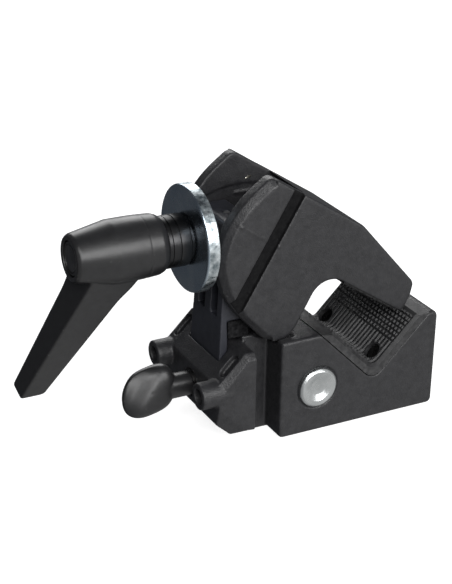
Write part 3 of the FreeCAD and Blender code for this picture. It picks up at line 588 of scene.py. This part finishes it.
stud_low, stud_high = box_mm("threaded_stud")
THREAD_PITCH, THREAD_DEPTH, THREAD_RADIUS, THREAD_START = 1.75, 1.0, 6.0, 1.1


def thread(along, angle):
    """The thread's flanks, inside the stud's outer diameter."""
    turn = (along / THREAD_PITCH - angle / (2 * math.pi)) % 1
    return -THREAD_DEPTH * abs(2 * turn - 1)


steps = np.arange(stud_low.x + 1.2, stud_high.x, 0.16)
stud_path = ([(stud_low.x, 4.6), (stud_low.x + THREAD_START, 5.6)]
             + [(float(x), THREAD_RADIUS) for x in steps] + [(stud_high.x, 5.2)])
stud = lathe("stud_thread", stud_path, STUD, X_AXIS, 72, offset=lambda along, angle: (
    thread(along, angle) if stud_low.x + THREAD_START < along < stud_high.x else 0.0))
dress(stud, STEEL, "clamp_body", "steel", "threaded_stud")

# ---- lever --------------------------------------------------------------------------------------
core_low, core_high = box_mm("lever_insert")
hub_low, hub_high = box_mm("lever_handle")
HUB_FRONT = hub_high.x
ARM_SWING = math.radians(17.8)
SKIRT, SKIRT_BORE = 1.15, 8.75      # the collar's lip around the friction ring
COLLAR, COLLAR_LINE = 9.85, 9.6     # radii of the collar and of the lines turned into it
SHANK, SHANK_HEAD = 7.9, 8.5        # radii of the core inside the hub
CONE_START = -99.4                  # where the hub starts to taper
collar_lines = []
for line in (-75.0, -78.1):
    collar_lines += [(line, COLLAR, 0.1), (line - 0.15, COLLAR_LINE, 0), (line - 0.3, COLLAR, 0.1)]
collar_path = softened([(core_high.x, BORE, 0), (core_high.x, SKIRT_BORE, 0),
                        (core_high.x + SKIRT, SKIRT_BORE, 0), (core_high.x + SKIRT, COLLAR, 0.5),
                        *collar_lines, (HUB_FRONT, COLLAR, 0.2), (HUB_FRONT, SHANK, 0.1),
                        (CONE_START, SHANK, 0), (CONE_START, SHANK_HEAD, 0),
                        (core_low.x, SHANK_HEAD, 0.2), (core_low.x, BORE, 0.2)], 5, True)
collar = lathe("collar_core", collar_path, STUD, X_AXIS, 192, True)
dress(collar, DARK_STEEL, "lever_core", "dark_steel", "lever_insert")

HUB_RADIUS, HUB_END = 11.85, -114.9
HUB_BORE, BORE_END = 9.0, -107.0
RECESS, RECESS_FLOOR, SCREW_HOLE = 6.6, -108.7, 2.6
hub_path = softened([(HUB_FRONT, HUB_BORE, 0.2), (HUB_FRONT, 9.9, 0.3), (-80.6, 10.7, 0.8),
                     (-82.4, 11.4, 1.0), (-86.9, 11.7, 0), (-87.15, 11.55, 0), (-87.45, 11.55, 0),
                     (-87.7, 11.75, 0), (-91.4, HUB_RADIUS, 2), (CONE_START, HUB_RADIUS, 0.2),
                     (-113.6, 9.1, 0.8), (HUB_END, 8.2, 0.4), (HUB_END, 6.7, 0.3),
                     (RECESS_FLOOR, RECESS, 0.3), (RECESS_FLOOR, SCREW_HOLE, 0),
                     (BORE_END, SCREW_HOLE, 0), (BORE_END, HUB_BORE, 0)], 6, True)
hub = lathe("hub", hub_path, STUD, X_AXIS, 200, True)
ARM_FLARE, ARM_END_ROUND, ARM_START = 0.9, 0.6, 2.0


def lever_arm(top_x, top_half, end_x, end_half, length, radius):
    """The lever's arm: a lofted rounded bar, a little thicker where it meets the hub."""
    points, faces = [], []
    stations = np.linspace(0, 1, 60)
    for t in stations:
        flare = ARM_FLARE * (1 - smoothstep(0.14, 0.30, t))
        low = top_x[0] + (end_x[0] - top_x[0]) * t - flare * 0.4
        high = top_x[1] + (end_x[1] - top_x[1]) * t + flare
        half = top_half + (end_half - top_half) * t + flare * 0.5
        close = smoothstep(0.975, 1.0, t)
        shrink = ARM_END_ROUND * (1 - math.sqrt(max(0.0, 1 - close * close)))
        low, high, half = low + shrink, high - shrink, half - shrink
        ring = softened([(low, -half, radius), (high, -half, radius), (high, half, radius),
                         (low, half, radius)], 6, True)
        down = ARM_START + (length - ARM_START) * t
        for x, y in ring:
            z = -down
            points.append((x, y * math.cos(ARM_SWING) - z * math.sin(ARM_SWING),
                           STUD.z + y * math.sin(ARM_SWING) + z * math.cos(ARM_SWING)))
    count = len(points) // len(stations)
    for i in range(len(stations) - 1):
        for k in range(count):
            m = (k + 1) % count
            faces.append((i * count + k, i * count + m, (i + 1) * count + m, (i + 1) * count + k))
    faces.append(tuple(range(count)))
    faces.append(tuple(range(len(points) - count, len(points))))
    return add_mesh("arm", points, faces)


bar = lever_arm(top_x=(-106.7, -86.9), top_half=7.9, end_x=(-130.3, -120.6), end_half=4.4,
                length=62.0, radius=1.0)
CUTTER = HUB_BORE - 0.1
inner = lathe("bore_cutter", [(BORE_END, CUTTER), (HUB_FRONT + 2, CUTTER)], STUD, X_AXIS, 128)
recess = lathe("recess_cutter", [(-118.0, RECESS), (RECESS_FLOOR, RECESS)], STUD, X_AXIS, 128)
for cutter in (inner, recess):
    cut = bar.modifiers.new("cut", "BOOLEAN")
    cut.operation = "DIFFERENCE"
    cut.object = cutter
bake(bar)
for cutter in (inner, recess):
    bpy.data.objects.remove(cutter)
lever = remeshed(joined("lever", [hub, bar]), voxel=0.27, rounds=7, keep=0.5)
dress(lever, HANDLE, "handle", "handle_black", "lever_handle")

screw_low, screw_high = box_mm("retaining_screw")
CAP_RADIUS, CAP_THICK = 6.3, 1.8
CAP_RIM = 0.35          # how deep the cap's outer ring lies, with a ring line inside it
cap_path = softened([(screw_low.x + depth, radius, rounding) for depth, radius, rounding in (
    (CAP_THICK, CENTRE, 0), (CAP_THICK, CAP_RADIUS, 0.1), (CAP_RIM, CAP_RADIUS, 0.3), (CAP_RIM, 5.5, 0),
    (0.6, 5.4, 0), (0.6, 5.1, 0), (0.3, 4.9, 0.2), (0.15, CENTRE, 0))])
cap = lathe("core_cap", cap_path, STUD, X_AXIS, 128)
dress(cap, HANDLE, "lever_core", "handle_black", "retaining_screw")

# ---- lock knob ----------------------------------------------------------------------------------
knob_low, knob_high = box_mm("lock_knob")
KNOB_LEAN = math.radians(-12.0)
KNOB_RIGHT, KNOB_HALF_TALL = -73.9, 9.1
KNOB_SQUARE, KNOB_OVAL, KNOB_SKEW = 0.6, 0.86, 0.2      # outline: squarer towards the sleeve, leaning
KNOB_THIN, KNOB_EDGE = 1.6, 0.7                         # least half thickness in the middle and outside
FACET_SLOPE, FACET_X, FACET_Z, FACET_START = 0.62, 0.83, 0.56, 0.4
SOFT_FACET, SOFT_FLOOR = 1.6, 0.8                       # how gently the facet begins and bottoms out
SLEEVE_RADIUS, SLEEVE_END, SHANK_END = 4.8, -84.6, -82.0
RUNNING_GAP = 0.02


def knob_paddle(left, right, half_tall):
    """A skewed pillow of a paddle: each side falls away in a facet towards one end and edge."""
    middle, half_long = (left + right) / 2, (right - left) / 2
    rings, spokes = 30, 120
    points, faces = [], []
    for side in (1, -1):
        for i in range(rings):
            share = 0.1 + 0.9 * math.sin(math.pi / 2 * i / (rings - 1))
            for k in range(spokes):
                angle = 2 * math.pi * k / spokes
                c, d = math.cos(angle), math.sin(angle)
                square = KNOB_SQUARE if c > 0 else KNOB_OVAL
                x = half_long * share * math.copysign(abs(c) ** square, c)
                tall = half_tall * share * math.copysign(abs(d) ** KNOB_OVAL, d) + KNOB_SKEW * x
                across = -side * tall
                fall = (-(x + 0.2) * FACET_X + across * FACET_Z) - FACET_START
                facet = 0.5 * (fall + math.sqrt(fall * fall + SOFT_FACET))
                room = 3.4 - FACET_SLOPE * facet
                thick = KNOB_THIN + 0.5 * (room + math.sqrt(room * room + SOFT_FLOOR))
                thick -= 0.9 * (tall / half_tall) ** 2
                rise = max(thick, KNOB_EDGE) * (1 - share ** 6) ** 0.45
                points.append((middle + x, side * rise, tall))
    for half in (0, 1):
        base = half * rings * spokes
        for i in range(rings - 1):
            for k in range(spokes):
                m = (k + 1) % spokes
                faces.append((base + i * spokes + k, base + i * spokes + m,
                              base + (i + 1) * spokes + m, base + (i + 1) * spokes + k))
        faces.append(tuple(range(base, base + spokes)))
    paddle = add_mesh("paddle", points, faces)
    bm = bmesh.new()
    bm.from_mesh(paddle.data)
    bmesh.ops.remove_doubles(bm, verts=bm.verts, dist=WELD * MM)
    bmesh.ops.recalc_face_normals(bm, faces=bm.faces)
    bm.to_mesh(paddle.data)
    bm.free()
    turn = Matrix.Rotation(KNOB_LEAN, 4, "X")
    paddle.data.transform(Matrix.Translation(Vector((0, 0, LOCK.z)) * MM) @ turn)
    return paddle


paddle = knob_paddle(knob_low.x, KNOB_RIGHT, KNOB_HALF_TALL)
sleeve_path = softened([(SLEEVE_END, CENTRE, 0), (SLEEVE_END, SLEEVE_RADIUS, 0.5),
                        (knob_high.x, SLEEVE_RADIUS, 0.4), (knob_high.x, CENTRE, 0)])
sleeve = lathe("sleeve", sleeve_path, LOCK, X_AXIS, 96)
knob = remeshed(joined("knob", [paddle, sleeve]), voxel=0.25, rounds=9, keep=0.6)
dress(knob, HANDLE, "lock", "handle_black", "lock_knob")

# ---- the lock screw's shank, which ends inside the knob's sleeve ---------------------------------
shank_low, shank_high = box_mm("lock_screw")
shank_radius = shank_high.z - LOCK.z - RUNNING_GAP
shank_end = shank_high.x - RUNNING_GAP
shank_path = softened([(SHANK_END, CENTRE, 0), (SHANK_END, shank_radius, 0),
                       (shank_end, shank_radius, 0.3), (shank_end, CENTRE, 0)])
shank = lathe("lock_shank", shank_path, LOCK, X_AXIS, 64)
dress(shank, STEEL, "lock", "steel", "lock_screw")

# ---- bare chip on the far cheek -----------------------------------------------------------------
CHIP_X, CHIP_Y, CHIP_Z = -36.8, 12.82, 93.1
CHIP_SIDES, CHIP_REACH, CHIP_THICK = 9, 1.25, 0.12
chip_points = []
for layer, scale in ((0.0, 1.0), (-CHIP_THICK, 0.8)):
    for k in range(CHIP_SIDES):
        angle = 2 * math.pi * k / CHIP_SIDES
        reach = (CHIP_REACH + 0.3 * math.sin(2.7 * k)) * scale
        chip_points.append((CHIP_X + reach * math.cos(angle), CHIP_Y + layer,
                            CHIP_Z + 0.45 * reach * math.sin(angle) + 0.2 * reach * math.cos(angle)))
chip_faces = [tuple(range(CHIP_SIDES)), tuple(range(CHIP_SIDES, 2 * CHIP_SIDES))]
for k in range(CHIP_SIDES):
    m = (k + 1) % CHIP_SIDES
    chip_faces.append((k, m, CHIP_SIDES + m, CHIP_SIDES + k))
chip = add_mesh("bare_chip", chip_points, chip_faces)
dress(chip, BARE, "jaw", "steel")

# ---- materials of the CAD nodes that stay -------------------------------------------------------
# The spacer blocks take the darkened groove coat, and the friction ring dark steel in place of its
# brass: painted shade where they sit between parts.
KEPT = {"liner_screws": HOLE_SHADE_BLACK, "spacer_blocks": GROOVE_SHADE_COAT, "hinge_pins": STEEL,
        "stud_cross_pin": STEEL, "pad_screws": DARK_STEEL, "friction_ring": DARK_STEEL,
        "lever_spring": STEEL, "spline_ring": STEEL, "screw_tip": BRASS}
for node, material in KEPT.items():
    for slot in NODES[node].material_slots:
        slot.link = "OBJECT"
        slot.material = material


# ---- stage --------------------------------------------------------------------------------------
def staged(surface, name, colour, roughness, glow, unseen_by):
    """Makes the surface just added into a glowing piece of the stage that leaves the clamp unlit."""
    surface.name = name
    material = principled(name, colour, roughness)
    shader = material.node_tree.nodes["Principled BSDF"]
    shader.inputs["Emission Color"].default_value = (1, 1, 1, 1)
    shader.inputs["Emission Strength"].default_value = glow
    surface.data.materials.append(material)
    for ray in unseen_by:
        setattr(surface, "visible_" + ray, False)


FLOOR_SIZE = 14
FLOOR_DROP = 0.0002
bpy.ops.mesh.primitive_plane_add(size=FLOOR_SIZE, location=(0, 0, CAD_BOX[0][2] - FLOOR_DROP))
staged(bpy.context.object, "floor", (0.5, 0.5, 0.5), roughness=0.9, glow=0.85,
       unseen_by=("diffuse", "glossy"))

# The world is bright towards one direction and dark behind it, so that every face has some shading.
BRIGHT_SIDE = Vector((0.45, -0.80, -0.40))
world = bpy.data.worlds.new("studio")
bpy.context.scene.world = world
world.use_nodes = True
world_nodes, world_links = world.node_tree.nodes, world.node_tree.links
background = world_nodes["Background"]
place = world_nodes.new("ShaderNodeTexCoord")
aim = world_nodes.new("ShaderNodeVectorMath")
aim.operation = "DOT_PRODUCT"
aim.inputs[1].default_value = BRIGHT_SIDE.normalized()
glow = world_nodes.new("ShaderNodeValToRGB")
remap = world_nodes.new("ShaderNodeMapRange")
remap.inputs["From Min"].default_value = -1.0
world_links.new(place.outputs["Generated"], aim.inputs[0])
world_links.new(aim.outputs["Value"], remap.inputs["Value"])
world_links.new(remap.outputs["Result"], glow.inputs["Fac"])
for stop, position, colour in zip(glow.color_ramp.elements, (0.42, 0.86),
                                  ((0.07, 0.074, 0.082, 1), (0.58, 0.58, 0.58, 1))):
    stop.position = position
    stop.color = colour
world_links.new(glow.outputs["Color"], background.inputs["Color"])
background.inputs["Strength"].default_value = 1.0

DOME_RADIUS = 6.5
bpy.ops.mesh.primitive_uv_sphere_add(segments=48, ring_count=24, radius=DOME_RADIUS)
staged(bpy.context.object, "backdrop", (1, 1, 1), roughness=1.0, glow=1.0,
       unseen_by=("diffuse", "glossy", "shadow", "transmission"))

LIGHT_AIM = Vector((-0.03, 0.0, 0.05))


def soft_light(name, direction, distance, size, power):
    """A rectangular lamp that looks at the clamp's middle from a direction."""
    data = bpy.data.lights.new(name, "AREA")
    data.shape = "RECTANGLE"
    data.size, data.size_y = size
    data.energy = power
    lamp = bpy.data.objects.new(name, data)
    bpy.context.scene.collection.objects.link(lamp)
    toward = Vector(direction).normalized()
    lamp.location = LIGHT_AIM + toward * distance
    lamp.rotation_euler = toward.to_track_quat("Z", "Y").to_euler()


soft_light("key", (0.12, -1.0, 0.50), distance=1.2, size=(1.5, 0.6), power=15)
soft_light("rim", (-0.40, -0.58, 0.70), distance=1.3, size=(0.5, 0.25), power=4.5)
soft_light("back", (0.3, 1.0, 0.6), distance=1.6, size=(1.0, 1.0), power=12.0)

# ---- camera -------------------------------------------------------------------------------------
CAMERA_PLACE = Vector((-293.38, -462.78, 291.12))
CAMERA_AXES = Matrix(((0.8900, -0.4556, 0.0163), (0.1756, 0.3756, 0.9099), (-0.4208, -0.8070, 0.4143)))
camera_data = bpy.data.cameras.new("camera")
camera_data.lens = 93.8
camera_data.sensor_width = 36
camera_data.sensor_fit = "AUTO"
camera_data.clip_end = 50
camera = bpy.data.objects.new("camera", camera_data)
bpy.context.scene.collection.objects.link(camera)
camera.matrix_world = Matrix.Translation(CAMERA_PLACE * MM) @ CAMERA_AXES.transposed().to_4x4()
bpy.context.scene.camera = camera
bpy.context.scene.view_settings.view_transform = "Standard"
